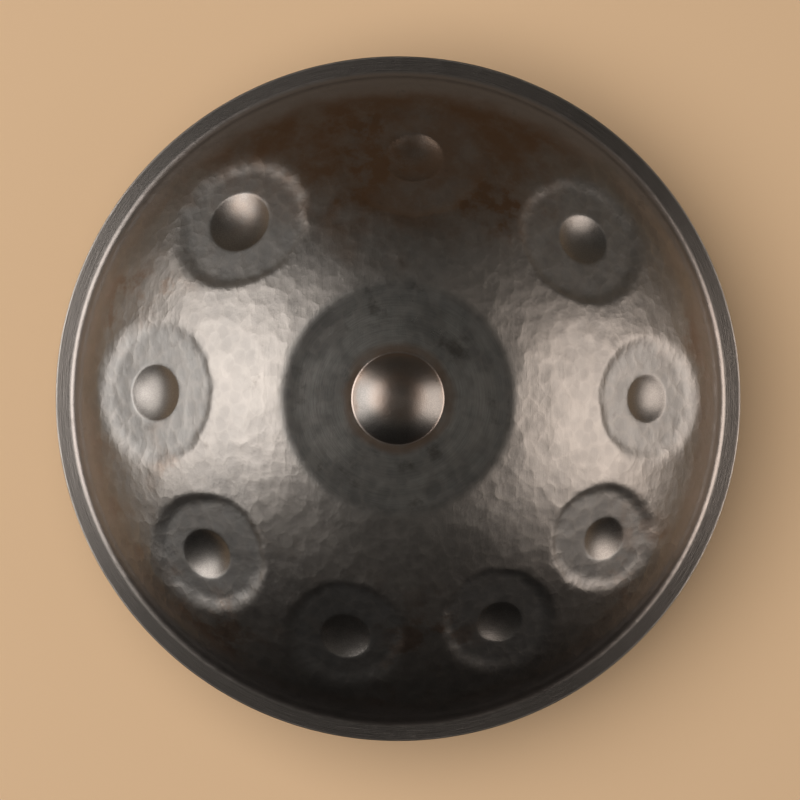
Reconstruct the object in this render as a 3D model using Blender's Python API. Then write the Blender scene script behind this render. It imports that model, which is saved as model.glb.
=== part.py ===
"""Handpan: two drawn steel shells glued together at their rim flanges.

Metres, +Z up. The origin is the centre of the flat land that the instrument rests on.
The top shell carries the ding and nine hammered tone fields; the bottom shell has the open port.
"""

import math

import bmesh
import bpy
from mathutils import Vector
from mathutils.geometry import delaunay_2d_cdt

# The rim, the same on both shells.
RIM_RADIUS = 0.280
DOME_EDGE_RADIUS = 0.2624
RIM_FILLET = 0.0075
SHEET = 0.0010
BEAD_THICKNESS = 0.0008
JOINT_GAP = 0.0003
BEAD_INNER_RADIUS = 0.2690
BEAD_OUTER_RADIUS = 0.2792
SEGMENTS = 72

# The draw die: a flattened ellipsoid that shapes both domes.
DIE_RADIUS = 0.320
DIE_HEIGHT = 0.256

# The middle of the top shell.
SHOULDER_RADIUS = 0.096
DING_FIELD_RADIUS = 0.084
DING_FIELD_SLOPE = 0.05
DING_RADIUS = 0.0356
DING_HEIGHT = 0.0120
DING_CREASE = 0.0010

# The middle of the bottom shell.
LAND_RADIUS = 0.070
LAND_BLEND_RADIUS = 0.088
PORT_RADIUS = 0.050
PORT_FILLET = 0.0060
NECK_HEIGHT = 0.0200

# Tone fields: bearing in degrees from +X, distance of the dimple from the axis, half width round
# the dome, half length down it, dimple radius, and how far the border lies outwards of the dimple.
# The dimples are slightly longer down the dome than round it.
TONE_FIELDS = (
    (86.3, 0.1909, 0.0600, 0.0596, 0.0234, 0.0),
    (40.7, 0.1926, 0.0560, 0.0586, 0.0203, 0.0),
    (0.0, 0.1970, 0.0506, 0.0544, 0.0189, 0.003),
    (-34.2, 0.1968, 0.0450, 0.0523, 0.0173, 0.0),
    (-65.6, 0.1935, 0.0460, 0.0533, 0.0180, 0.0),
    (-102.5, 0.1919, 0.0483, 0.0544, 0.0199, 0.0),
    (-140.9, 0.1944, 0.0506, 0.0565, 0.0205, -0.001),
    (178.6, 0.1916, 0.0600, 0.0596, 0.0222, 0.001),
    (131.9, 0.1870, 0.0590, 0.0607, 0.0246, 0.0),
)
FIELD_DEPTH = 0.0008
FIELD_INNER_EDGE = 0.86
DIMPLE_SPHERE = 0.045
DIMPLE_EDGE = 0.0006
DIMPLE_STRETCH = 1.045
FIELD_CLEARANCE = 1.10

# Point counts of the rings that the top shell's face is meshed from.
SHOULDER_POINTS = 48
DING_POINTS = 36
DING_CORE_RINGS = ((0.85, 36), (0.6, 24), (0.3, 12))
FIELD_RING_POINTS = 24
DIMPLE_RING_POINTS = 20
DIMPLE_CORE = 0.5
DIMPLE_CORE_POINTS = 10
DOME_RING_STEP = 0.018
DOME_RING_POINTS = 60
PLAN_TOLERANCE = 0.00001
SHARP_ANGLE = 30.0

# Steps along the bottom shell's turned profile.
DOME_STEPS = 7
NECK_STEPS = 3


def die_height(radius):
    """Height of the die over the plane of its equator."""
    return DIE_HEIGHT * math.sqrt(1.0 - (radius / DIE_RADIUS) ** 2)


def die_slope(radius):
    """Fall of the die per metre outwards."""
    share = radius / DIE_RADIUS
    return DIE_HEIGHT / DIE_RADIUS * share / math.sqrt(1.0 - share * share)


# Levels that follow from the driving dimensions.
EDGE_ANGLE = math.atan(die_slope(DOME_EDGE_RADIUS))
FLANGE_INNER_RADIUS = DOME_EDGE_RADIUS + RIM_FILLET * math.sin(EDGE_ANGLE)
FILLET_RISE = RIM_FILLET * (1.0 - math.cos(EDGE_ANGLE))
BLEND_WIDTH = LAND_BLEND_RADIUS - LAND_RADIUS
LAND_RISE = 0.5 * die_slope(LAND_BLEND_RADIUS) * BLEND_WIDTH


def drawn_height(radius):
    """Height of the drawn dome's outer face over the flange's outer face, before any hammering."""
    if radius >= FLANGE_INNER_RADIUS:
        return 0.0
    if radius >= DOME_EDGE_RADIUS:
        reach = FLANGE_INNER_RADIUS - radius
        return RIM_FILLET - math.sqrt(RIM_FILLET**2 - reach**2)
    return FILLET_RISE + die_height(radius) - die_height(DOME_EDGE_RADIUS)


BOTTOM_DEPTH = drawn_height(LAND_BLEND_RADIUS) + LAND_RISE
TOP_FLANGE_Z = BOTTOM_DEPTH + 2.0 * SHEET + 2.0 * JOINT_GAP + BEAD_THICKNESS


def ding_height(radius):
    """Height of the ding's cap over its own base: part of a sphere through base circle and apex."""
    sphere = (DING_RADIUS**2 + DING_HEIGHT**2) / (2.0 * DING_HEIGHT)
    return math.sqrt(sphere**2 - radius**2) - (sphere - DING_HEIGHT)


def crown_height(radius):
    """Height of the top shell before the tone fields: the dome, the ding's tone field, the ding."""
    if radius >= SHOULDER_RADIUS:
        return drawn_height(radius)
    height = drawn_height(SHOULDER_RADIUS)
    slope_out = die_slope(SHOULDER_RADIUS)
    band = SHOULDER_RADIUS - DING_FIELD_RADIUS
    into_band = SHOULDER_RADIUS - max(radius, DING_FIELD_RADIUS)
    height += slope_out * into_band
    height += 0.5 * (DING_FIELD_SLOPE - slope_out) * into_band**2 / band
    if radius < DING_FIELD_RADIUS:
        height += DING_FIELD_SLOPE * (DING_FIELD_RADIUS - max(radius, DING_RADIUS))
    if radius < DING_RADIUS:
        height += ding_height(radius)
    return height


def field_frame(field):
    """Plan directions out through a tone field and across it, and the slope and level of its plane.

    The plane lies along the dome's chord between the inner and the outer end of the border. Its
    level is the chord's height halfway along.
    """
    bearing, distance, _, half_length, _, shift = field
    angle = math.radians(bearing)
    outwards = Vector((math.cos(angle), math.sin(angle)))
    sideways = Vector((-outwards.y, outwards.x))
    reach = half_length / math.hypot(1.0, die_slope(distance))
    inner_end = drawn_height(distance + shift - reach)
    outer_end = drawn_height(distance + shift + reach)
    return outwards, sideways, (inner_end - outer_end) / (2.0 * reach), 0.5 * (inner_end + outer_end)


def field_coordinates(field, point):
    """Distances of a plan point from a tone field's dimple, measured in the field's own plane."""
    outwards, sideways, slope, _ = field_frame(field)
    distance = field[1]
    return (point.dot(outwards) - distance) * math.hypot(1.0, slope), point.dot(sideways)


def field_share(field, point):
    """Elliptical distance of a plan point from a field's centre: 1.0 where its border ends."""
    _, _, half_width, half_length, _, shift = field
    down, across = field_coordinates(field, point)
    return math.hypot((down - shift) / half_length, across / half_width)


def smooth_step(low, high, value):
    """0 below low, 1 above high, with flat ends."""
    share = min(max((value - low) / (high - low), 0.0), 1.0)
    return share * share * (3.0 - 2.0 * share)


def field_height(field, point):
    """Height of the sunken flat and its dimple: the chord plane of the dome, minus a spherical cap."""
    outwards, _, slope, level = field_frame(field)
    _, distance, _, _, dimple_radius, shift = field
    height = level - FIELD_DEPTH - slope * (point.dot(outwards) - distance - shift)
    down, across = field_coordinates(field, point)
    from_dimple = math.hypot(down / DIMPLE_STRETCH, across)
    if from_dimple < dimple_radius:
        cap = math.sqrt(DIMPLE_SPHERE**2 - from_dimple**2)
        height -= (cap - math.sqrt(DIMPLE_SPHERE**2 - dimple_radius**2)) * math.hypot(1.0, slope)
    return height


def top_height(point):
    """Height of the top shell's outer face over its flange, at a plan point."""
    height = crown_height(point.length)
    for field in TONE_FIELDS:
        share = field_share(field, point)
        if share < 1.0:
            keep = smooth_step(FIELD_INNER_EDGE, 1.0, share)
            return keep * height + (1.0 - keep) * field_height(field, point)
    return height


def circle(radius, count, turn=0.0):
    """Plan points round the axis."""
    return [
        Vector((math.cos(angle), math.sin(angle))) * radius
        for angle in (2.0 * math.pi * (step + turn) / count for step in range(count))
    ]


def field_oval(field, shift, half_length, half_width, count):
    """Plan points of an ellipse that lies in a tone field's plane, shifted out from its dimple."""
    outwards, sideways, slope, _ = field_frame(field)
    distance = field[1]
    points = []
    for step in range(count):
        angle = 2.0 * math.pi * step / count
        down = (shift + half_length * math.cos(angle)) / math.hypot(1.0, slope)
        points.append(outwards * (distance + down) + sideways * (half_width * math.sin(angle)))
    return points


def top_rings():
    """Closed rings of plan points: rim, dome, ding, tone field borders and dimples."""
    fillet_middle = 0.5 * (DOME_EDGE_RADIUS + FLANGE_INNER_RADIUS)
    rings = [
        circle(radius, SEGMENTS)
        for radius in (RIM_RADIUS, FLANGE_INNER_RADIUS, fillet_middle, DOME_EDGE_RADIUS)
    ]
    middle_of_band = 0.5 * (SHOULDER_RADIUS + DING_FIELD_RADIUS)
    for radius in (SHOULDER_RADIUS, middle_of_band, DING_FIELD_RADIUS):
        rings.append(circle(radius, SHOULDER_POINTS))
    for radius in (DING_RADIUS + DING_CREASE, DING_RADIUS):
        rings.append(circle(radius, DING_POINTS))
    for share, count in DING_CORE_RINGS:
        rings.append(circle(share * DING_RADIUS, count))
    for field in TONE_FIELDS:
        _, _, half_width, half_length, dimple_radius, shift = field
        for edge in (1.0, FIELD_INNER_EDGE):
            oval = field_oval(field, shift, edge * half_length, edge * half_width, FIELD_RING_POINTS)
            rings.append(oval)
        for radius, count in (
            (dimple_radius + DIMPLE_EDGE, DIMPLE_RING_POINTS),
            (dimple_radius - DIMPLE_EDGE, DIMPLE_RING_POINTS),
            (DIMPLE_CORE * dimple_radius, DIMPLE_CORE_POINTS),
        ):
            rings.append(field_oval(field, 0.0, DIMPLE_STRETCH * radius, radius, count))
    return rings


def loose_points():
    """Plan points of the plain dome between the tone fields, the field centres and the apex."""
    points = [Vector((0.0, 0.0))]
    for field in TONE_FIELDS:
        points.append(field_frame(field)[0] * field[1])
    count = int((DOME_EDGE_RADIUS - SHOULDER_RADIUS) / DOME_RING_STEP)
    step = (DOME_EDGE_RADIUS - SHOULDER_RADIUS) / count
    for ring in range(1, count):
        for point in circle(SHOULDER_RADIUS + ring * step, DOME_RING_POINTS, 0.5 * (ring % 2)):
            if min(field_share(field, point) for field in TONE_FIELDS) > FIELD_CLEARANCE:
                points.append(point)
    return points


def steel_material(name, colour, roughness):
    """A metallic Principled material."""
    material = bpy.data.materials.new(name)
    material.use_nodes = True
    shader = material.node_tree.nodes["Principled BSDF"]
    shader.inputs["Base Color"].default_value = (*colour, 1.0)
    shader.inputs["Metallic"].default_value = 1.0
    shader.inputs["Roughness"].default_value = roughness
    return material


def link_object(name, mesh, material):
    """Puts a mesh into the scene as a smooth-shaded object with its material."""
    piece = bpy.data.objects.new(name, mesh)
    bpy.context.scene.collection.objects.link(piece)
    mesh.materials.append(material)
    mesh.shade_smooth()
    mesh.set_sharp_from_angle(angle=math.radians(SHARP_ANGLE))
    return piece


def give_thickness(piece):
    """Turns a drawn outer face into sheet steel, with the metal on the inner side."""
    solidify = piece.modifiers.new("sheet", "SOLIDIFY")
    solidify.thickness = SHEET
    solidify.offset = -1.0
    solidify.use_even_offset = True
    solidify.use_rim = True


def turned_mesh(name, profile, closed):
    """A mesh turned round +Z from a profile of (radius, height) points."""
    bm = bmesh.new()
    verts = [bm.verts.new((radius, 0.0, height)) for radius, height in profile]
    edges = [bm.edges.new(pair) for pair in zip(verts, verts[1:])]
    if closed:
        edges.append(bm.edges.new((verts[-1], verts[0])))
    bmesh.ops.spin(
        bm,
        geom=verts + edges,
        cent=(0.0, 0.0, 0.0),
        axis=(0.0, 0.0, 1.0),
        angle=2.0 * math.pi,
        steps=SEGMENTS,
        use_merge=True,
    )
    bmesh.ops.remove_doubles(bm, verts=bm.verts, dist=PLAN_TOLERANCE)
    bmesh.ops.recalc_face_normals(bm, faces=bm.faces)
    mesh = bpy.data.meshes.new(name)
    bm.to_mesh(mesh)
    bm.free()
    return mesh


def make_top_shell(material):
    """The playing side: plan rings triangulated flat, then lifted to the shell's height."""
    points = []
    edges = []
    for ring in top_rings():
        first = len(points)
        points.extend(ring)
        edges.extend((first + i, first + (i + 1) % len(ring)) for i in range(len(ring)))
    points.extend(loose_points())
    plan, _, faces = delaunay_2d_cdt(points, edges, [], 0, PLAN_TOLERANCE)[:3]
    mesh = bpy.data.meshes.new("top_shell")
    lifted = [(p.x, p.y, TOP_FLANGE_Z + top_height(p)) for p in plan]
    mesh.from_pydata(lifted, [], faces)
    piece = link_object("top_shell", mesh, material)
    give_thickness(piece)
    return piece


def bottom_profile():
    """Outer face of the port side, from the rim's edge to the inner end of the port's neck."""
    profile = [(RIM_RADIUS, 0.0), (FLANGE_INNER_RADIUS, 0.0)]
    for share in (0.5, 1.0):
        angle = share * EDGE_ANGLE
        radius = FLANGE_INNER_RADIUS - RIM_FILLET * math.sin(angle)
        profile.append((radius, RIM_FILLET * (1.0 - math.cos(angle))))
    for step in range(1, DOME_STEPS + 1):
        share = step / DOME_STEPS
        radius = DOME_EDGE_RADIUS + (LAND_BLEND_RADIUS - DOME_EDGE_RADIUS) * share
        profile.append((radius, drawn_height(radius)))
    middle = 0.5 * (LAND_BLEND_RADIUS + LAND_RADIUS)
    profile.append((middle, BOTTOM_DEPTH - LAND_RISE * 0.5**2))
    profile.append((LAND_RADIUS, BOTTOM_DEPTH))
    for step in range(NECK_STEPS + 1):
        angle = 0.5 * math.pi * step / NECK_STEPS
        radius = PORT_RADIUS + PORT_FILLET * (1.0 - math.sin(angle))
        profile.append((radius, BOTTOM_DEPTH - PORT_FILLET * (1.0 - math.cos(angle))))
    profile.append((PORT_RADIUS, BOTTOM_DEPTH - NECK_HEIGHT))
    return [(radius, BOTTOM_DEPTH - depth) for radius, depth in profile]


def make_bottom_shell(material):
    """The port side: the same draw, turned over, with a flat land and the port's neck."""
    mesh = turned_mesh("bottom_shell", bottom_profile(), False)
    flange_faces_up = mesh.polygons[0].normal.z > 0.0
    if flange_faces_up:
        mesh.flip_normals()
    piece = link_object("bottom_shell", mesh, material)
    give_thickness(piece)
    return piece


def make_adhesive_bead():
    """The epoxy ring between the flanges, a flat band with a hair of room on both faces."""
    low = BOTTOM_DEPTH + SHEET + JOINT_GAP
    high = low + BEAD_THICKNESS
    profile = [
        (BEAD_INNER_RADIUS, low),
        (BEAD_OUTER_RADIUS, low),
        (BEAD_OUTER_RADIUS, high),
        (BEAD_INNER_RADIUS, high),
    ]
    material = bpy.data.materials.new("epoxy")
    material.use_nodes = True
    shader = material.node_tree.nodes["Principled BSDF"]
    shader.inputs["Base Color"].default_value = (0.03, 0.028, 0.025, 1.0)
    shader.inputs["Roughness"].default_value = 0.5
    return link_object("adhesive_bead", turned_mesh("adhesive_bead", profile, True), material)


for leftover in list(bpy.data.objects):
    bpy.data.objects.remove(leftover)

make_top_shell(steel_material("nitrided_steel_top", (0.30, 0.28, 0.26), 0.34))
make_bottom_shell(steel_material("nitrided_steel_bottom", (0.27, 0.26, 0.25), 0.38))
make_adhesive_bead()
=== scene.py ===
"""Handpan: a drawn and hammered steel top shell glued to a steel bottom shell with a port.

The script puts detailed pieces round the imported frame: first the top shell, then the bottom
shell, then the glue between them, and last the floor, the lights and the camera. Metres, +Z up.
"""

import math

import bpy
import numpy as np
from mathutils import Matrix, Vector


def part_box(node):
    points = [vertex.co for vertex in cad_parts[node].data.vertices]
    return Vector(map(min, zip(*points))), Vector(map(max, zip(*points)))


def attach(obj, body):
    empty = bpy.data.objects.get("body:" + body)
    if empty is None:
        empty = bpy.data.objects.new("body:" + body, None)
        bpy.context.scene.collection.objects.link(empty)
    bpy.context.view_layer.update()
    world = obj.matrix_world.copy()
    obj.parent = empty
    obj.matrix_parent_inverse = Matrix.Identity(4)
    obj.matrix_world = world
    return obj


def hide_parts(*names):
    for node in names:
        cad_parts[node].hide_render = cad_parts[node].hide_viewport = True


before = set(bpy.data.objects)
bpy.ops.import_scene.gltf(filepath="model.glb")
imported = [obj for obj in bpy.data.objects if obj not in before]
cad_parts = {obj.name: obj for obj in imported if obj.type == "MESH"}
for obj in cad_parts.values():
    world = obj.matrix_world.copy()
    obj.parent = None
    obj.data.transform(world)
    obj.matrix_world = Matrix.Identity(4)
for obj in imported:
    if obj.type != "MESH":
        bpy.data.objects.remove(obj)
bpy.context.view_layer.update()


# ---------------------------------------------------------------------------------------------
# Top shell. One sheet of nitrided steel, drawn over a die, with the ding pushed up in the middle
# and nine tone fields hammered down round it. Each tone field has a round dimple pressed into it.
# ---------------------------------------------------------------------------------------------

SHEET = 0.0010
JOINT_GAP = 0.0003
top_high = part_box("top_shell")[1]
bead_low, bead_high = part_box("adhesive_bead")
rim_radius = top_high.x
top_flange_z = bead_high.z + JOINT_GAP + SHEET

DIE_RADIUS = 0.320
DIE_HEIGHT = 0.256
DOME_EDGE_RADIUS = 0.2628
RIM_FILLET = 0.0090
EDGE_ROUND = 0.0012
ROLL_RADIUS = 0.2588
ROLL_WIDTH = 0.0022
ROLL_SLOPE = 0.28
FLANGE_FALL = 0.045
SHOULDER_RADIUS = 0.0940
DING_FIELD_RADIUS = 0.084
DING_FIELD_SLOPE = 0.05
DING_RADIUS = 0.0362
DING_CAP_RADIUS = 0.0342
DING_SPHERE = 0.0600
GROOVE_RADIUS = 0.0815
GROOVE_WIDTH = 0.0040
GROOVE_SLOPE = 0.05


def die_slope(radius):
    """Fall per metre outwards of the die, an ellipsoid: height / radius * s / sqrt(1 - s * s)."""
    share = radius / DIE_RADIUS
    return DIE_HEIGHT / DIE_RADIUS * share / np.sqrt(1.0 - share * share)


edge_angle = math.atan(die_slope(DOME_EDGE_RADIUS))
flange_inner_radius = DOME_EDGE_RADIUS + RIM_FILLET * math.sin(edge_angle)


def smooth(low, high, value):
    """0 below low, 1 above high and a cubic with flat ends between: 3 s^2 - 2 s^3."""
    share = np.clip((value - low) / (high - low), 0.0, 1.0)
    return share * share * (3.0 - 2.0 * share)


def blend(a, b, share):
    """a where share is 0 and b where it is 1."""
    return a + (b - a) * share


def crown_slope(radius):
    """Fall per metre outwards of the top shell without its tone fields.

    From the axis out: the ding's sphere, tangent of asin(r / R); a short hollow fillet; the
    ding's nearly flat field, with a faint groove where it ends, a bell curve; a soft shoulder;
    the die's dome, with a soft roll near its edge, another bell curve; the rim's hollow fillet,
    tangent of asin(distance to the flange / fillet radius); and the flange's slight fall.
    """
    cap = np.clip(radius / DING_SPHERE, 0.0, DING_CAP_RADIUS / DING_SPHERE)
    slope = cap / np.sqrt(1.0 - cap * cap)
    slope = blend(slope, DING_FIELD_SLOPE, smooth(DING_CAP_RADIUS, DING_RADIUS, radius))
    slope = slope - GROOVE_SLOPE * np.exp(-(((radius - GROOVE_RADIUS) / GROOVE_WIDTH) ** 2))
    dome = die_slope(np.minimum(radius, DOME_EDGE_RADIUS))
    dome = dome - ROLL_SLOPE * np.exp(-(((radius - ROLL_RADIUS) / ROLL_WIDTH) ** 2))
    slope = blend(slope, dome, smooth(DING_FIELD_RADIUS, SHOULDER_RADIUS, radius))
    hollow = np.clip((flange_inner_radius - radius) / RIM_FILLET, 0.0, math.sin(edge_angle))
    fillet = hollow / np.sqrt(1.0 - hollow * hollow)
    return np.where(radius > DOME_EDGE_RADIUS, np.maximum(fillet, FLANGE_FALL), slope)


PROFILE_STEPS = 8000
profile_radius = np.linspace(0.0, rim_radius - EDGE_ROUND, PROFILE_STEPS)
profile_slope = crown_slope(profile_radius)
profile_step = profile_radius[1]
profile_fall = np.concatenate([[0.0], np.cumsum(profile_slope[1:] + profile_slope[:-1])])
profile_height = 0.5 * profile_step * (profile_fall[-1] - profile_fall)
profile_length = np.concatenate(
    [[0.0], np.cumsum(np.hypot(1.0, 0.5 * (profile_slope[1:] + profile_slope[:-1])))]
) * profile_step


def crown_height(radius):
    """Height over the flange's edge: the slope added up from there inwards."""
    return np.interp(radius, profile_radius, profile_height)


# Tone fields: bearing in degrees from +X, distance of the dimple from the axis, half width round
# the dome, half length down it, dimple radius, and how far the border lies outwards of the dimple.
TONE_FIELDS = (
    (86.3, 0.1909, 0.0600, 0.0596, 0.0234, 0.0),
    (40.7, 0.1926, 0.0560, 0.0586, 0.0203, 0.0),
    (0.0, 0.1970, 0.0506, 0.0544, 0.0189, 0.003),
    (-34.2, 0.1968, 0.0450, 0.0523, 0.0173, 0.0),
    (-65.6, 0.1935, 0.0460, 0.0533, 0.0180, 0.0),
    (-102.5, 0.1919, 0.0483, 0.0544, 0.0199, 0.0),
    (-140.9, 0.1944, 0.0506, 0.0565, 0.0205, -0.001),
    (178.6, 0.1916, 0.0600, 0.0596, 0.0222, 0.001),
    (131.9, 0.1870, 0.0590, 0.0607, 0.0246, 0.0),
)
DIMPLE_STRETCH = 1.045
DIMPLE_SPHERE = 0.045
DIMPLE_EDGE = 0.00018
INNER_DEPTH = 0.00056
OUTER_DEPTH = 0.00015
FIELD_CROWN = 0.0004
BORDER_END = 1.01
RIM_SIDE_REACH = 0.07
STEEP_BORDER = 0.13
GENTLE_BORDER = 0.42
BORDER_WANDER = 0.024
WANDER_SPACING = 0.013


class ToneField:
    """One tone field's plane: it joins the two ends of its border, a little below the dome."""

    def __init__(self, bearing, distance, half_width, half_length, dimple_radius, shift):
        self.out_x, self.out_y = math.cos(math.radians(bearing)), math.sin(math.radians(bearing))
        self.distance, self.dimple_radius, self.shift = distance, dimple_radius, shift
        self.half_width, self.half_length = half_width, half_length
        reach = half_length / math.hypot(1.0, die_slope(distance))
        inner_end = crown_height(distance + shift - reach) - INNER_DEPTH
        outer_end = crown_height(distance + shift + reach) - OUTER_DEPTH
        self.slope = (inner_end - outer_end) / (2.0 * reach)
        self.stretch = math.hypot(1.0, self.slope)
        self.level = 0.5 * (inner_end + outer_end)

    def position(self, x, y):
        """Distances of plan points down and across the plane from the dimple's centre."""
        down = (x * self.out_x + y * self.out_y - self.distance) * self.stretch
        return down, y * self.out_x - x * self.out_y

    def plan(self, down, across):
        """Plan points of places in the plane: the reverse of position."""
        out = self.distance + down / self.stretch
        return out * self.out_x - across * self.out_y, out * self.out_y + across * self.out_x

    def share(self, down, across):
        """Elliptical distance from the middle of the border: 1 on the border."""
        return np.hypot((down - self.shift) / self.half_length, across / self.half_width)

    def height(self, x, y):
        """Height of the flat over the flange: level - slope * distance out from the middle."""
        return self.level - self.slope * (x * self.out_x + y * self.out_y - self.distance - self.shift)


fields = [ToneField(*sizes) for sizes in TONE_FIELDS]

TINY = 1e-9
FIELD_REACH = 1.6
GATHER_SHARE = 0.97
BORDER_GATHER = (0.10, 0.45)
DIMPLE_REACH = 0.05
DIMPLE_GATHER = (0.0045, 0.72)


def gather(value, edge, width, pull):
    """Moves values towards edge by a bell-shaped share, so that grid lines crowd along it."""
    return value + (edge - value) * pull * np.exp(-(((value - edge) / width) ** 2))


def gather_grid(x, y):
    """Grid points drawn towards each tone field's border and then each dimple's edge."""
    for field in fields:
        down, across = field.position(x, y)
        share = field.share(down, across)
        near = share < FIELD_REACH
        moved = gather(share, GATHER_SHARE, *BORDER_GATHER) / np.maximum(share, TINY)
        scale = np.where(near, moved, 1.0)
        down, across = field.shift + (down - field.shift) * scale, across * scale
        reach = np.hypot(down / DIMPLE_STRETCH, across)
        moved = gather(reach, field.dimple_radius, *DIMPLE_GATHER) / np.maximum(reach, TINY)
        scale = np.where(reach < DIMPLE_REACH, moved, 1.0)
        new_x, new_y = field.plan(down * scale, across * scale)
        x, y = np.where(near, new_x, x), np.where(near, new_y, y)
    return x, y


random = np.random.default_rng(19)
TABLE_SIZE = 64
blow_table = random.random((TABLE_SIZE, TABLE_SIZE, 3))
lump_table = random.random((TABLE_SIZE, TABLE_SIZE))
BLOW_VARIETY = 0.25


def hammer_blows(x, y, spacing, table):
    """Shallow dents that meet in ridges: squared distance to the nearest blow, 0 to about 1.

    One blow falls in each square of a grid, moved about inside it, and some fall deeper.
    """
    column, row = np.floor(x / spacing), np.floor(y / spacing)
    nearest = np.full(x.shape, np.inf)
    for shift_x in (-1, 0, 1):
        for shift_y in (-1, 0, 1):
            place = table[
                (column + shift_x).astype(int) % TABLE_SIZE, (row + shift_y).astype(int) % TABLE_SIZE
            ]
            away_x = column + shift_x + place[..., 0] - x / spacing
            away_y = row + shift_y + place[..., 1] - y / spacing
            nearest = np.minimum(nearest, away_x**2 + away_y**2 + BLOW_VARIETY * place[..., 2])
    return nearest


def lumps(x, y, spacing, table):
    """Soft random swell, -1 to 1: values on a square grid joined by smooth cubics."""
    column, row = np.floor(x / spacing), np.floor(y / spacing)
    part_x = smooth(0.0, 1.0, x / spacing - column)
    part_y = smooth(0.0, 1.0, y / spacing - row)
    column, row = column.astype(int) % TABLE_SIZE, row.astype(int) % TABLE_SIZE
    next_column, next_row = (column + 1) % TABLE_SIZE, (row + 1) % TABLE_SIZE
    low = blend(table[column, row], table[next_column, row], part_x)
    high = blend(table[column, next_row], table[next_column, next_row], part_x)
    return 2.0 * blend(low, high, part_y) - 1.0


BLOW_SPACING = 0.0125
BLOW_DEPTH = 0.00030
LUMP_SPACING = 0.034
LUMP_HEIGHT = 0.00040
FIELD_WORK = 0.7
DING_FIELD_WORK = 0.25
DING_WORK_START = 0.060
DOME_WORK_END = (0.246, 0.262)
SHOULDER_BLEND = 0.01
CAP_LIMIT = 0.98 * DIMPLE_SPHERE
DIMPLE_MARK = 0.0003
# The border's wander: shifts of the lumps' grid along x and y, spacing and weight of each swell.
WANDER_SWELLS = (
    (1.0, 1.0, WANDER_SPACING, 1.0),
    (2.0, 1.0, 3.0 * WANDER_SPACING, 1.0),
    (1.0, 2.0, 0.5 * WANDER_SPACING, 0.6),
)


def shell_surface(x, y, hammered):
    """Points of the top shell's outer face over plan points, and what the steel's finish needs.

    Height = the crown's, blended into each tone field's plane inside its border, steeply on the
    ding's side and gently on the rim's; inside a dimple the point moves along that plane's normal
    by the depth of a spherical cap, softened at its edge by a logarithm. Hammer blows and a soft
    swell are added on top.
    """
    radius = np.hypot(x, y)
    z = crown_height(radius)
    in_field = np.zeros_like(x)
    in_dimple = np.zeros_like(x)
    border = np.zeros_like(x)
    move_x, move_y = np.zeros_like(x), np.zeros_like(x)
    wander = np.zeros_like(x)
    for shift_x, shift_y, spacing, weight in WANDER_SWELLS:
        wander = wander + weight * lumps(x + shift_x, y + shift_y, spacing, lump_table)
    for field in fields:
        down, across = field.position(x, y)
        share = field.share(down, across) * (1.0 + BORDER_WANDER * wander)
        rim_side = 0.5 + 0.5 * down / np.maximum(np.hypot(down, across), TINY)
        width = blend(STEEP_BORDER, GENTLE_BORDER, rim_side)
        end = BORDER_END + RIM_SIDE_REACH * rim_side
        inside = 1.0 - smooth(0.0, 1.0, (share - end + width) / width)
        plane = field.height(x, y) + FIELD_CROWN * np.clip(1.0 - share * share, 0.0, 1.0)
        z = blend(z, plane, inside)
        from_centre = np.minimum(np.hypot(down / DIMPLE_STRETCH, across), CAP_LIMIT)
        edge_level = math.sqrt(DIMPLE_SPHERE**2 - field.dimple_radius**2)
        cap = np.sqrt(DIMPLE_SPHERE**2 - from_centre**2) - edge_level
        depth = DIMPLE_EDGE * np.logaddexp(0.0, cap / DIMPLE_EDGE)
        move_x = move_x - depth * field.slope / field.stretch * field.out_x
        move_y = move_y - depth * field.slope / field.stretch * field.out_y
        z = z - depth / field.stretch
        in_field = np.maximum(in_field, inside)
        in_dimple = np.maximum(in_dimple, smooth(-DIMPLE_MARK, DIMPLE_MARK, cap))
        border = np.maximum(border, np.exp(-(((share - end + 0.5 * width) / width) ** 2)))
    if hammered:
        unroll = np.interp(radius, profile_radius, profile_length) / np.maximum(radius, TINY)
        along_x, along_y = x * unroll, y * unroll
        work = smooth(DING_RADIUS, DING_WORK_START, radius) * (1.0 - smooth(*DOME_WORK_END, radius))
        work = work * (1.0 - in_dimple)
        dome = smooth(SHOULDER_RADIUS - SHOULDER_BLEND, SHOULDER_RADIUS + SHOULDER_BLEND, radius)
        work = work * blend(DING_FIELD_WORK, 1.0, dome) * blend(1.0, FIELD_WORK, in_field)
        z = z + work * BLOW_DEPTH * hammer_blows(along_x, along_y, BLOW_SPACING, blow_table)
        z = z + work * LUMP_HEIGHT * lumps(along_x, along_y, LUMP_SPACING, lump_table)
    points = np.stack([x + move_x, y + move_y, top_flange_z + z], axis=-1)
    return points, {"field": in_field, "dimple": in_dimple, "border": border}


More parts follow.
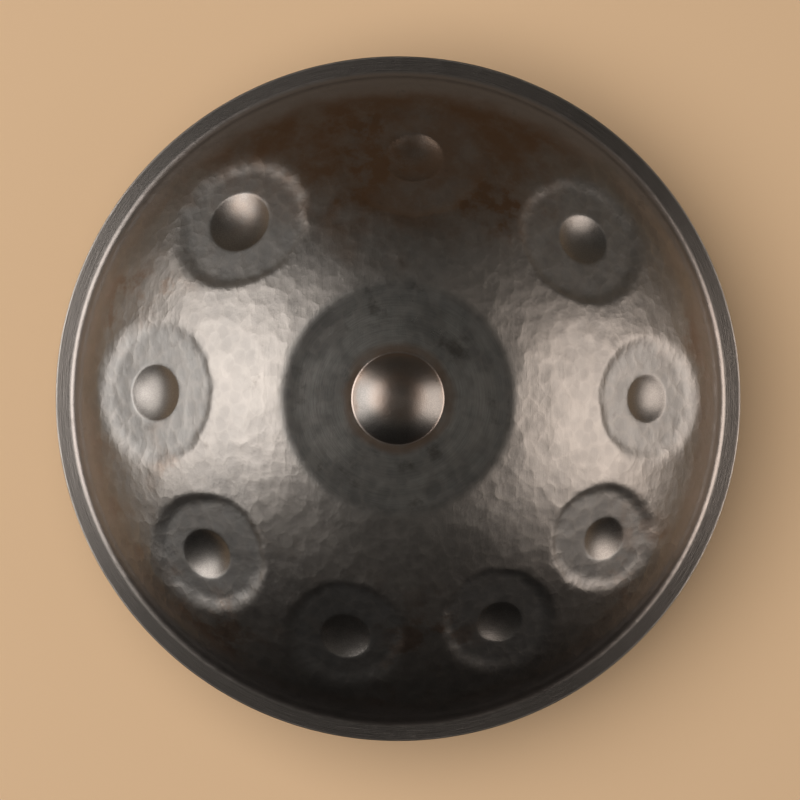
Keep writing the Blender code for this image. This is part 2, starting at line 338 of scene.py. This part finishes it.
def skin_mesh(name, rings, closed):
    """A mesh of rings of points: quads between neighbouring rings, walked outwards then round.

    A closed skin joins its last ring to its first. An open one has a single point, a pole, as its
    first and last ring, which is joined to the next ring by triangles.
    """
    count = rings.shape[1]
    body = rings if closed else rings[1:-1]
    index = np.arange(len(body) * count).reshape(len(body), count)
    ahead = np.roll(index, -1, axis=0) if closed else index[1:]
    here = index if closed else index[:-1]
    quads = np.stack([here, ahead, np.roll(ahead, -1, 1), np.roll(here, -1, 1)], axis=-1)
    loops = quads.reshape(-1)
    sizes = np.full(loops.size // 4, 4)
    points = body.reshape(-1, 3)
    if not closed:
        first_pole, last_pole = len(points), len(points) + 1
        points = np.concatenate([points, rings[:1, 0], rings[-1:, 0]])
        start, end = index[0], index[-1]
        first_fan = np.stack([np.full(count, first_pole), start, np.roll(start, -1)], axis=-1)
        last_fan = np.stack([np.full(count, last_pole), np.roll(end, -1), end], axis=-1)
        loops = np.concatenate([loops, first_fan.reshape(-1), last_fan.reshape(-1)])
        sizes = np.concatenate([sizes, np.full(2 * count, 3)])
    mesh = bpy.data.meshes.new(name)
    mesh.vertices.add(len(points))
    mesh.vertices.foreach_set("co", points.astype(np.float32).ravel())
    mesh.loops.add(len(loops))
    mesh.loops.foreach_set("vertex_index", loops.astype(np.int32))
    mesh.polygons.add(len(sizes))
    mesh.polygons.foreach_set("loop_start", (np.cumsum(sizes) - sizes).astype(np.int32))
    mesh.update(calc_edges=True)
    mesh.shade_smooth()
    return mesh


def store(mesh, name, values):
    """Keeps one number for each point of a mesh, in the order of the mesh's points."""
    layer = mesh.attributes.new(name, "FLOAT", "POINT")
    layer.data.foreach_set("value", values.astype(np.float32).ravel())


def add_piece(name, mesh, material, node):
    """Links a finished mesh at the origin, in its material, in place of one node of the frame."""
    piece = bpy.data.objects.new(name, mesh)
    bpy.context.scene.collection.objects.link(piece)
    mesh.materials.append(material)
    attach(piece, "root")
    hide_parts(node)
    return piece


class Value:
    """One output of a shader node. Arithmetic on it adds Math nodes to the same material."""

    def __init__(self, shader, socket):
        self.shader = shader
        self.socket = socket

    def math(self, operation, first, second):
        settings = {"operation": operation}
        return self.shader.node("Math", settings, {0: first, 1: second})

    def __add__(self, other):
        return self.math("ADD", self, other)

    def __radd__(self, other):
        return self.math("ADD", other, self)

    def __sub__(self, other):
        return self.math("SUBTRACT", self, other)

    def __rsub__(self, other):
        return self.math("SUBTRACT", other, self)

    def __mul__(self, other):
        return self.math("MULTIPLY", self, other)

    def __rmul__(self, other):
        return self.math("MULTIPLY", other, self)

    def ramp(self, low, high, to_low=0.0, to_high=1.0):
        """to_low below low and to_high above high, with a smooth step between."""
        settings = {"interpolation_type": "SMOOTHSTEP"}
        sockets = {0: self, 1: low, 2: high, 3: to_low, 4: to_high}
        return self.shader.node("MapRange", settings, sockets)


class Finish:
    """A material and its Principled shader. node() adds any node and returns one of its outputs."""

    def __init__(self, name):
        self.material = bpy.data.materials.new(name)
        self.material.use_nodes = True
        self.tree = self.material.node_tree
        self.shader = self.tree.nodes["Principled BSDF"]

    def feed(self, socket, value):
        """Sets a socket to a number or colour, or links it to a Value."""
        if isinstance(value, Value):
            self.tree.links.new(value.socket, socket)
        else:
            socket.default_value = value

    def node(self, kind, settings=(), sockets=(), output=0):
        """Adds a node, sets its settings and then its sockets, and returns one output."""
        added = self.tree.nodes.new("ShaderNode" + kind)
        for name, value in dict(settings).items():
            setattr(added, name, value)
        for name, value in dict(sockets).items():
            self.feed(added.inputs[name], value)
        return Value(self, added.outputs[output])

    def place(self, scale=(1.0, 1.0, 1.0), turn=0.0):
        """Object coordinates, scaled and turned about +Z."""
        where = self.node("TexCoord", output="Object")
        sockets = {"Vector": where, "Scale": scale, "Rotation": (0.0, 0.0, turn)}
        return self.node("Mapping", {}, sockets)

    def noise(self, scale, detail, roughness, place=None):
        """Soft fractal noise, 0 to 1, on Object coordinates or on another place."""
        place = place or self.place()
        sockets = {"Vector": place, "Scale": scale, "Detail": detail, "Roughness": roughness}
        return self.node("TexNoise", {}, sockets)

    def mix(self, share, first, second):
        """A colour between two colours."""
        sockets = {0: share, 6: first, 7: second}
        return self.node("Mix", {"data_type": "RGBA"}, sockets, output=2)

    def coats(self, base, *layers):
        """A base colour with layers over it in turn, each with its share and its colour."""
        for share, tone in layers:
            base = self.mix(share, base, tone)
        return base

    def attribute(self, name):
        """A number that the mesh keeps at each of its points."""
        return self.node("Attribute", {"attribute_name": name}, output="Fac")

    def split(self, vector):
        """The three numbers of a vector."""
        numbers = self.node("SeparateXYZ", {}, {"Vector": vector}).socket.node.outputs
        return [Value(self, number) for number in numbers]

    def join(self, x, y, z):
        """A vector of three numbers."""
        return self.node("CombineXYZ", {}, {"X": x, "Y": y, "Z": z})

    def warp(self, place, scale, amount):
        """A place pushed about by a soft noise, so that a pattern on it loses its even shapes."""
        push = self.node("TexNoise", {}, {"Vector": place, "Scale": scale}, output="Color")
        reach = (amount, amount, amount)
        return self.node("VectorMath", {"operation": "MULTIPLY_ADD"}, {0: push, 1: reach, 2: place})

    def cells(self, place, scale, output="Distance"):
        """Scattered cells: the distance from each cell's middle, or a tone of each cell's own."""
        return self.node("TexVoronoi", {}, {"Vector": place, "Scale": scale}, output=output)

    def wear(self, **values):
        """Feeds the Principled shader's sockets, named with _ for a space."""
        for name, value in values.items():
            self.feed(self.shader.inputs[name.replace("_", " ")], value)


def colour(red, green, blue):
    """A colour with full alpha."""
    return (red, green, blue, 1.0)


STEEL = colour(0.185, 0.182, 0.175)
BLUE_STEEL = colour(0.186, 0.191, 0.190)
PALE_STEEL = colour(0.265, 0.255, 0.240)
SHADED_STEEL = colour(0.105, 0.104, 0.102)
# Brown: the oxide's colour, also used for a painted reflection of brown surroundings towards +Y and in
# the rim band.
BROWN_OXIDE_AND_PAINTED_REFLECTION = colour(0.152, 0.099, 0.065)
PALE_BROWN = colour(0.250, 0.232, 0.222)
DING_STEEL = colour(0.250, 0.258, 0.250)
LIP_STEEL = colour(0.300, 0.265, 0.245)
DARK_OXIDE = colour(0.060, 0.054, 0.048)
SLATE = colour(0.085, 0.081, 0.077)


# Distances from the axis between which a part of the finish comes or goes.
DING_SHADE = (0.010, 0.026)
LIP_START = (0.0343, 0.0350)
DING_END = (0.0345, 0.0360)
LIP_END = (0.0354, 0.0362)
DING_FIELD_END = (0.084, 0.094)
DING_FIELD_SHADE = (0.062, 0.086)
FLANGE_START = (0.2662, 0.2692)
WORN_EDGE_START = (0.2784, 0.2790)

# The same for the brown: oxide in the ding's middle, round the ding and astray on the dome; oxide
# and a painted reflection of brown surroundings in the band inside the rim; and a painted brown
# reflection on the far sides, which are measured towards +Y instead.
DING_MIDDLE_END = (0.012, 0.026)
HALO_START = (0.031, 0.037)
HALO_END = (0.0385, 0.0455)
STRAY_START = (0.12, 0.19)
RIM_BAND_START = (0.238, 0.256)
DING_FAR_REFLECTION = (0.004, 0.022)
FAR_REFLECTION = (0.083, 0.168)

# Patterns, in repeats to a metre.
CLOUDS = 9.0
BLOTCHES = 26.0
PATCHES = 34.0
TONES = 62.0
FINE_CLOUDS = 110.0
LARGE_BLOWS = 118.0
SMALL_BLOWS = 235.0
STROKES = (750.0, 75.0, 250.0)
TURNED_LINES, TURNED_DRIFT = 520.0, 14.0
RINGS, RING_DRIFT = 1300.0, 38.0
GRAIN = 1100.0
CHISEL_SHAPE = (1.0, 0.80, 1.0)
CHISEL_WARP = (140.0, 0.0045)
BLOTCH_TURN = 1.1
RELIEF_HEIGHT = 0.00032


def steel_top():
    """Nitrided steel: hammer facets with paler ridges, blue-grey fields, brown heat tints and a
    painted brown reflection, towards +Y and in the rim band.
    """
    finish = Finish("nitrided_steel_top")
    x, y, _ = finish.split(finish.place())
    radius = finish.node("Math", {"operation": "SQRT"}, {0: x * x + y * y})
    aside = finish.node("Math", {"operation": "ABSOLUTE"}, {0: x})
    cloud = finish.noise(CLOUDS, 4.0, 0.55)
    patches = finish.noise(PATCHES, 5.0, 0.65)
    fine_cloud = finish.noise(FINE_CLOUDS, 4.0, 0.6)
    blotches = finish.noise(BLOTCHES, 3.0, 0.6, finish.place(turn=BLOTCH_TURN))
    field, border, dimple = [finish.attribute(name) for name in ("field", "border", "dimple")]
    flange = radius.ramp(*FLANGE_START)
    ding = 1.0 - radius.ramp(*DING_END)
    ding_lip = radius.ramp(*LIP_START) * (1.0 - radius.ramp(*LIP_END))
    ding_field = (1.0 - radius.ramp(*DING_FIELD_END)) * (1.0 - ding)
    worked = (1.0 - dimple) * (1.0 - ding) * (1.0 - flange)
    pressed = dimple + ding
    worn_edge = radius.ramp(*WORN_EDGE_START)

    chisel = finish.warp(finish.place(CHISEL_SHAPE), *CHISEL_WARP)
    large = finish.cells(chisel, LARGE_BLOWS)
    small = finish.cells(chisel, SMALL_BLOWS)
    tone = finish.cells(chisel, TONES, "Color") * 0.5
    tone = tone + finish.cells(chisel, LARGE_BLOWS, "Color") * 0.5
    ridges = large * large
    dents = ridges + small * small * 0.35
    strokes = finish.noise(1.0, 4.0, 0.6, finish.place(STROKES))
    ring_place = finish.join(radius * RINGS, x * RING_DRIFT, y * RING_DRIFT)
    rings = finish.noise(1.0, 4.0, 0.65, ring_place)
    turned_place = finish.join(radius * TURNED_LINES, x * TURNED_DRIFT, y * TURNED_DRIFT)
    turned = finish.noise(1.0, 2.0, 0.5, turned_place)
    grain = finish.noise(GRAIN, 2.0, 0.5)

    # Rim band: partly brown oxide, partly a painted reflection of brown surroundings on the dome's
    # steep edge.
    rim_band = (radius + (patches - 0.5) * 0.016).ramp(*RIM_BAND_START)
    # Painted reflection: brown growing towards +Y and fading towards the sides.
    far_reflection = y - aside * 0.40 + (cloud - 0.5) * 0.16 + (patches - 0.5) * 0.06
    near_ding = radius + (patches - 0.5) * 0.016
    halo = near_ding.ramp(*HALO_START) * (1.0 - near_ding.ramp(*HALO_END))
    stray = cloud.ramp(0.52, 0.66) * patches.ramp(0.46, 0.60) * radius.ramp(*STRAY_START) * 0.60
    # The ding: brown oxide in its middle, and a painted brown reflection towards +Y.
    ding_brown = (1.0 - radius.ramp(*DING_MIDDLE_END)) * 0.75 + y.ramp(*DING_FAR_REFLECTION) * 0.6
    brown = rim_band * 0.85 + far_reflection.ramp(*FAR_REFLECTION) + halo * 0.70 + stray + ding * ding_brown
    brown = brown * (1.0 - flange) * (1.0 - field * 0.25) * patches.ramp(0.30, 0.60, 0.55, 1.0)
    brown = finish.node("Clamp", {}, {0: brown})

    ding_shade = ding * radius.ramp(*DING_SHADE, 0.1, 0.42)
    stains = patches.ramp(0.62, 0.74) * 0.35 + ding_field * patches.ramp(0.56, 0.66) * 0.30
    base = finish.coats(
        STEEL,
        (cloud.ramp(0.35, 0.65) * 0.6, PALE_STEEL),
        (field * (1.0 - dimple) * 0.85, BLUE_STEEL),
        (ding_field * 0.70, DING_STEEL),
        (ding_field * blotches.ramp(0.45, 0.60) * 0.50, SHADED_STEEL),
        (ding_field * radius.ramp(*DING_FIELD_SHADE) * 0.50, SHADED_STEEL),
        (ding_field * rings.ramp(0.40, 0.62) * 0.32, SHADED_STEEL),
        (worked * (1.0 - ding_field * 0.8) * tone.ramp(0.30, 0.70, 0.22, 0.0), SHADED_STEEL),
        (worked * ridges.ramp(0.16, 0.42) * 0.20, PALE_STEEL),
        (ding_shade + dimple * 0.12, SHADED_STEEL),
        (pressed * grain.ramp(0.62, 0.40) * 0.40, SHADED_STEEL),
        # Brown coat: oxide and painted reflection, paler in the rim band and on the ding.
        (brown, finish.mix(rim_band + ding * 0.4, BROWN_OXIDE_AND_PAINTED_REFLECTION, PALE_BROWN)),
        (flange * 0.9, SLATE),
        (stains, DARK_OXIDE),
        (ding_lip * 0.7, LIP_STEEL),
        (worn_edge * 0.8, PALE_STEEL),
    )
    rough = 0.29 + cloud * 0.06 + fine_cloud * 0.10 + field * 0.04
    rough = rough - (ding + ding_field) * 0.07 - dimple * 0.04
    hammered = worked * (0.46 + border * 0.35 - field * 0.10 - ding_field * 0.36)
    relief = dents * hammered + strokes * worked * (1.0 - field * 0.6) * 0.17
    relief = relief + turned * flange * 0.3
    relief = relief + rings * (flange * 0.9 + ding_field * 0.09 + ding * 0.16)
    relief = relief + grain * (0.12 + pressed * 0.16)
    sockets = {"Strength": 1.0, "Distance": RELIEF_HEIGHT, "Height": relief}
    bump = finish.node("Bump", {}, sockets)
    finish.wear(Base_Color=base, Roughness=rough, Metallic=1.0, Normal=bump)
    return finish.material


TURNS = 480
EDGE_STEPS = 7
DOME_FINE_RADIUS = 0.2540
# Stops of the rings on each face: a radius, and the number of even steps that reach it. The inner
# face's last three stops pass under the ding's lip and its cap.
OUTER_STOPS = (
    (DING_CAP_RADIUS, 21),
    (DING_RADIUS, 7),
    (DING_FIELD_RADIUS, 17),
    (SHOULDER_RADIUS, 8),
    (DOME_FINE_RADIUS, 85),
    (DOME_EDGE_RADIUS, 10),
    (flange_inner_radius, 8),
    (rim_radius - EDGE_ROUND, 4),
)
INNER_STOPS = (
    (flange_inner_radius, 1),
    (DOME_EDGE_RADIUS, 3),
    (SHOULDER_RADIUS, 16),
    (0.040, 5),
    (0.032, 7),
    (0.006, 3),
)


def steps(low, high, count):
    """count values after low, evenly spaced up to high."""
    return np.linspace(low, high, count + 1)[1:]


def stepped(start, stops):
    """Values after start: even steps to each stop in turn."""
    ends = [start] + [stop for stop, _ in stops]
    return np.concatenate([steps(low, *stop) for low, stop in zip(ends, stops)])


outer_radii = stepped(0.0, OUTER_STOPS)
inner_radii = np.append(rim_radius - EDGE_ROUND, stepped(rim_radius - EDGE_ROUND, INNER_STOPS))
turn = np.linspace(0.0, 2.0 * math.pi, TURNS, endpoint=False)


def ring_grid(radii):
    """Plan points of rings round the axis, one ring to a row."""
    return np.outer(radii, np.cos(turn)), np.outer(radii, np.sin(turn))


HAIR = 0.0002


def inner_face(x, y):
    """The outer face without its blows, moved in by the sheet's thickness along its normal.

    The normal is the cross product of the differences between points a hair apart.
    """
    here = shell_surface(x, y, False)[0]
    along_x = shell_surface(x + HAIR, y, False)[0] - here
    along_y = shell_surface(x, y + HAIR, False)[0] - here
    normal = np.cross(along_x, along_y)
    normal /= np.linalg.norm(normal, axis=-1, keepdims=True)
    return here - SHEET * normal


outer_x, outer_y = gather_grid(*ring_grid(outer_radii))
outer_points, outer_marks = shell_surface(outer_x, outer_y, True)
inner_x, inner_y = gather_grid(*ring_grid(inner_radii))
inner_points = inner_face(inner_x, inner_y)
# The sheet's rounded edge: a half ellipse from the outer face round to the inner one.
edge_turn = np.linspace(0.5 * math.pi, -0.5 * math.pi, EDGE_STEPS + 2)[1:-1]
edge_radius = rim_radius - EDGE_ROUND * (1.0 - np.cos(edge_turn))
edge_x, edge_y = ring_grid(edge_radius)
edge_z = top_flange_z - 0.5 * SHEET * (1.0 - np.sin(edge_turn))
edge_points = np.stack([edge_x, edge_y, np.repeat(edge_z[:, None], TURNS, 1)], axis=-1)
top_pole = shell_surface(np.zeros((1, TURNS)), np.zeros((1, TURNS)), True)[0]
inner_pole = top_pole - np.array([0.0, 0.0, SHEET])
top_rings = np.concatenate([top_pole, outer_points, edge_points, inner_points, inner_pole])
top_mesh = skin_mesh("top_shell_steel", top_rings, closed=False)
plain_count = (len(top_rings) - 2 - len(outer_radii)) * TURNS + 2
for mark, values in outer_marks.items():
    store(top_mesh, mark, np.concatenate([values.ravel(), np.zeros(plain_count)]))
add_piece("top_shell_steel", top_mesh, steel_top(), "top_shell")


# ---------------------------------------------------------------------------------------------
# Bottom shell. The same draw turned over, left plain, with the port cut through its middle. The
# sheet round the port is pressed flat, to rest on, and its edge is turned in to make a neck.
# ---------------------------------------------------------------------------------------------

bottom_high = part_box("bottom_shell")[1]
bottom_flange_z = bottom_high.z - SHEET
LAND_RADIUS = 0.070
LAND_BLEND_RADIUS = 0.088
PORT_RADIUS = 0.050
PORT_FILLET = 0.0060
NECK_HEIGHT = 0.0200
FLANGE_STEPS = 4
FILLET_STEPS = 7
DOME_STEPS = 55
BEND_STEPS = 7
LAND_STEPS = 6
ROUND_STEPS = 8
NECK_STEPS = 5


def short_of(low, high, count):
    """count values from low, evenly spaced, the last of them one step short of high."""
    return np.linspace(low, high, count, endpoint=False)


def bottom_profile():
    """Radii, levels and outward normals of the bottom shell's outer face, from rim to neck.

    The dome is the die's ellipsoid upside down. Between the dome and the land the slope falls
    evenly to nothing. A quarter circle turns the land up into the neck.
    """
    flange = short_of(rim_radius - EDGE_ROUND, flange_inner_radius, FLANGE_STEPS)
    fillet = flange_inner_radius - RIM_FILLET * np.sin(short_of(0.0, edge_angle, FILLET_STEPS))
    dome = short_of(DOME_EDGE_RADIUS, LAND_BLEND_RADIUS, DOME_STEPS)
    bend = short_of(LAND_BLEND_RADIUS, LAND_RADIUS, BEND_STEPS)
    land = np.linspace(LAND_RADIUS, PORT_RADIUS + PORT_FILLET, LAND_STEPS + 1)
    radius = np.concatenate([flange, fillet, dome, bend, land])
    slope = die_slope(np.minimum(radius, DOME_EDGE_RADIUS))
    hollow = np.clip((flange_inner_radius - radius) / RIM_FILLET, 0.0, math.sin(edge_angle))
    slope = np.where(radius > DOME_EDGE_RADIUS, hollow / np.sqrt(1.0 - hollow * hollow), slope)
    ease = np.clip((radius - LAND_RADIUS) / (LAND_BLEND_RADIUS - LAND_RADIUS), 0.0, 1.0)
    slope = np.where(radius < LAND_BLEND_RADIUS, die_slope(LAND_BLEND_RADIUS) * ease, slope)
    level = np.concatenate([[0.0], np.cumsum(0.5 * (slope[1:] + slope[:-1]) * -np.diff(radius))])
    level = bottom_flange_z * (1.0 - level / level[-1])
    normal = np.stack([slope, np.full_like(slope, -1.0)], axis=-1)
    round_up = steps(0.0, 0.5 * math.pi, ROUND_STEPS)
    neck = steps(PORT_FILLET, NECK_HEIGHT, NECK_STEPS)
    round_radius = PORT_RADIUS + PORT_FILLET * (1.0 - np.sin(round_up))
    radius = np.concatenate([radius, round_radius, np.full(NECK_STEPS, PORT_RADIUS)])
    level = np.concatenate([level, PORT_FILLET * (1.0 - np.cos(round_up)), neck])
    turned = np.stack([-np.sin(round_up), -np.cos(round_up)], axis=-1)
    upright = np.tile([-1.0, 0.0], (NECK_STEPS, 1))
    normal = np.concatenate([normal, turned, upright])
    return radius, level, normal / np.linalg.norm(normal, axis=1, keepdims=True)


def turned_rings(radius, level):
    """A profile carried round the axis."""
    x, y = ring_grid(radius)
    return np.stack([x, y, np.repeat(level[:, None], TURNS, 1)], axis=-1)


def steel_bottom():
    """Nitrided steel as it left the furnace: grey with a brown bloom and faint turning rings."""
    finish = Finish("nitrided_steel_bottom")
    where = finish.place()
    cloud = finish.noise(7.0, 4.0, 0.55)
    fine_cloud = finish.noise(55.0, 4.0, 0.6)
    rings = finish.node(
        "TexWave",
        {"wave_type": "RINGS", "rings_direction": "Z"},
        {"Vector": where, "Scale": 90.0, "Distortion": 0.6, "Detail": 2.0, "Detail Scale": 3.0},
    )
    grain = finish.noise(800.0, 2.0, 0.5)
    bloom = fine_cloud.ramp(0.45, 0.7) * 0.35
    base = finish.coats(STEEL, (cloud.ramp(0.35, 0.65), BLUE_STEEL), (bloom, BROWN_OXIDE_AND_PAINTED_REFLECTION))
    rough = 0.34 + cloud * 0.10 + fine_cloud * 0.06
    relief = rings * 0.25 + grain * 0.2
    bump = finish.node("Bump", {}, {"Strength": 0.25, "Distance": 0.0002, "Height": relief})
    finish.wear(Base_Color=base, Roughness=rough, Metallic=1.0, Normal=bump)
    return finish.material


face_radius, face_level, face_normal = bottom_profile()
inner_radius = face_radius - SHEET * face_normal[:, 0]
inner_level = face_level - SHEET * face_normal[:, 1]
edge_level = bottom_flange_z + 0.5 * SHEET * (1.0 + np.sin(edge_turn))
bottom_rings = np.concatenate(
    [
        turned_rings(face_radius, face_level),
        turned_rings(inner_radius[::-1], inner_level[::-1]),
        turned_rings(edge_radius, edge_level),
    ]
)
bottom_mesh = skin_mesh("bottom_shell_steel", bottom_rings, closed=True)
add_piece("bottom_shell_steel", bottom_mesh, steel_bottom(), "bottom_shell")


# ---------------------------------------------------------------------------------------------
# Glue. A bead of dark epoxy between the two flanges. It was laid as a round bead and squeezed
# flat, so its outer edge is rounded and wanders a little.
# ---------------------------------------------------------------------------------------------

GLUE_CLEARANCE = 0.00003
GLUE_WIDTH = 0.0102
GLUE_STEPS = 24
GLUE_WANDER = 0.00025
GLUE_LUMPS = ((40.0, 1.0), (130.0, 0.5))
GLUE_OUT_POWER, GLUE_UP_POWER = 0.6, 0.4
GLUE_BLACK = colour(0.018, 0.016, 0.014)
GLUE_DUST = colour(0.05, 0.045, 0.04)
glue_low = bead_low.z - JOINT_GAP + GLUE_CLEARANCE
glue_high = bead_high.z + JOINT_GAP - GLUE_CLEARANCE
glue_middle, glue_half = 0.5 * (glue_low + glue_high), 0.5 * (glue_high - glue_low)
# The bead's section is a superellipse: cosine and sine, each raised to a power with its sign kept.
glue_turn = short_of(0.0, 2.0 * math.pi, GLUE_STEPS)
glue_out = np.sign(np.cos(glue_turn)) * np.abs(np.cos(glue_turn)) ** GLUE_OUT_POWER
glue_up = np.sign(np.sin(glue_turn)) * np.abs(np.sin(glue_turn)) ** GLUE_UP_POWER
bead_outer, bead_inner = bead_high.x, bead_high.x - GLUE_WIDTH
glue_radius = 0.5 * (bead_outer + bead_inner) + 0.5 * (bead_outer - bead_inner) * glue_out
wander = sum(w * lumps(count * turn, 0.0 * turn, 1.0, lump_table) for count, w in GLUE_LUMPS)
glue_spread = glue_radius[:, None] + GLUE_WANDER * glue_out[:, None] * wander[None, :]
glue_rings = np.stack(
    [
        glue_spread * np.cos(turn),
        glue_spread * np.sin(turn),
        np.repeat((glue_middle + glue_half * glue_up)[:, None], TURNS, 1),
    ],
    axis=-1,
)


def epoxy():
    """Cured epoxy: near black, with a soft gloss, small bubbles and dust."""
    finish = Finish("dark_epoxy")
    cloud = finish.noise(120.0, 3.0, 0.5)
    bubbles = finish.node("TexVoronoi", {}, {"Vector": finish.place(), "Scale": 900.0})
    base = finish.mix(cloud.ramp(0.3, 0.7), GLUE_BLACK, GLUE_DUST)
    bump = finish.node("Bump", {}, {"Strength": 0.3, "Distance": 0.0002, "Height": bubbles})
    finish.wear(Base_Color=base, Roughness=0.35 + cloud * 0.3, Normal=bump)
    return finish.material


glue_mesh = skin_mesh("epoxy_bead", glue_rings[::-1], closed=True)
add_piece("epoxy_bead", glue_mesh, epoxy(), "adhesive_bead")


# ---------------------------------------------------------------------------------------------
# Studio. A plain pale floor under a light of its own; for the steel to mirror, two soft lights at
# the left, one at the right, a dim one overhead, a dark card at the near side and a brown one at
# the far side; and a camera straight overhead.
# ---------------------------------------------------------------------------------------------

FLOOR_HALF = 14.0
FLOOR_COLOUR = colour(0.644, 0.444, 0.272)
WORLD_COLOUR = colour(0.092, 0.085, 0.073)
BLACK = colour(0.0, 0.0, 0.0)
FAR_GLOW = colour(0.185, 0.145, 0.108)
CAMERA_HEIGHT = 1.600
LENS = 88.07
SENSOR = 36.0
CAMERA_OFFSET = (0.0016, -0.0011)
LIGHT_DISTANCE = 1.6
FLOOR_LIGHT_DISTANCE = 4.8


def card(name, corners, material):
    """A flat stage piece from its four corners."""
    mesh = bpy.data.meshes.new(name)
    mesh.from_pydata(corners, [], [(0, 1, 2, 3)])
    mesh.materials.append(material)
    piece = bpy.data.objects.new(name, mesh)
    bpy.context.scene.collection.objects.link(piece)
    return piece


def mirrored_card(name, corners, **glow):
    """A black card, which may glow, that shows in reflections and nowhere else."""
    finish = Finish(name)
    finish.wear(Base_Color=BLACK, Roughness=1.0, **glow)
    piece = card(name, corners, finish.material)
    piece.visible_camera = False
    piece.visible_diffuse = False
    piece.visible_shadow = False
    piece.visible_transmission = False


def soft_light(name, distance, tilt, bearing, width, length, brightness, tint):
    """A rectangular light that looks at the dome, tilt degrees off the vertical.

    Its brightness is what a mirror would see, so its power is brightness * pi * area.
    """
    data = bpy.data.lights.new(name, "AREA")
    data.shape = "RECTANGLE"
    data.size, data.size_y = width, length
    data.energy = brightness * math.pi * width * length
    data.color = tint
    lamp = bpy.data.objects.new(name, data)
    bpy.context.scene.collection.objects.link(lamp)
    tilt, bearing = math.radians(tilt), math.radians(bearing)
    lamp.location = (
        distance * math.sin(tilt) * math.cos(bearing),
        distance * math.sin(tilt) * math.sin(bearing),
        top_high.z + distance * math.cos(tilt),
    )
    lamp.rotation_euler = (0.0, tilt, bearing)
    lamp.visible_camera = False
    return lamp


floor_finish = Finish("pale_floor")
floor_finish.wear(Base_Color=FLOOR_COLOUR, Roughness=0.9)
card(
    "floor",
    [(sx * FLOOR_HALF, sy * FLOOR_HALF, 0.0) for sx, sy in ((-1, -1), (1, -1), (1, 1), (-1, 1))],
    floor_finish.material,
)

mirrored_card(
    "near_card",
    [(-0.7, -0.40, 0.004), (0.7, -0.40, 0.004), (0.9, -1.05, 1.30), (-0.9, -1.05, 1.30)],
)
mirrored_card(
    "far_card",
    [(-0.9, 0.40, 0.004), (-1.4, 1.20, 0.75), (1.4, 1.20, 0.75), (0.9, 0.40, 0.004)],
    Emission_Color=FAR_GLOW,
    Emission_Strength=1.0,
)

WARM_WHITE = (1.0, 0.965, 0.925)
ROSE_WHITE = (1.0, 0.915, 0.860)
AMBER_WHITE = (1.0, 0.855, 0.765)
# Lights that show in reflections only: name, tilt off the vertical and bearing in degrees, width,
# length, brightness and tint. The floor's light stands further off and shows in no reflection.
STEEL_LIGHTS = (
    ("left_high", 39.5, 174.0, 0.72, 1.14, 5.4, ROSE_WHITE),
    ("left_low", 63.5, 176.0, 0.65, 1.70, 4.05, ROSE_WHITE),
    ("right", 57.5, -5.0, 1.26, 1.24, 4.0, AMBER_WHITE),
    ("overhead", 0.0, 0.0, 0.46, 0.46, 0.20, WARM_WHITE),
)
for name, *aim in STEEL_LIGHTS:
    soft_light(name, LIGHT_DISTANCE, *aim).visible_diffuse = False
floor_light = soft_light(
    "floor_light", FLOOR_LIGHT_DISTANCE, 22.0, 168.0, 6.0, 6.0, 2.9, WARM_WHITE
)
floor_light.visible_glossy = False

world = bpy.data.worlds.new("studio")
world.use_nodes = True
world.node_tree.nodes["Background"].inputs["Color"].default_value = WORLD_COLOUR
bpy.context.scene.world = world
bpy.context.scene.view_settings.view_transform = "Standard"

camera_data = bpy.data.cameras.new("camera")
camera_data.sensor_width = SENSOR
camera_data.lens = LENS
camera = bpy.data.objects.new("camera", camera_data)
bpy.context.scene.collection.objects.link(camera)
camera.location = (*CAMERA_OFFSET, top_flange_z + CAMERA_HEIGHT)
bpy.context.scene.camera = camera
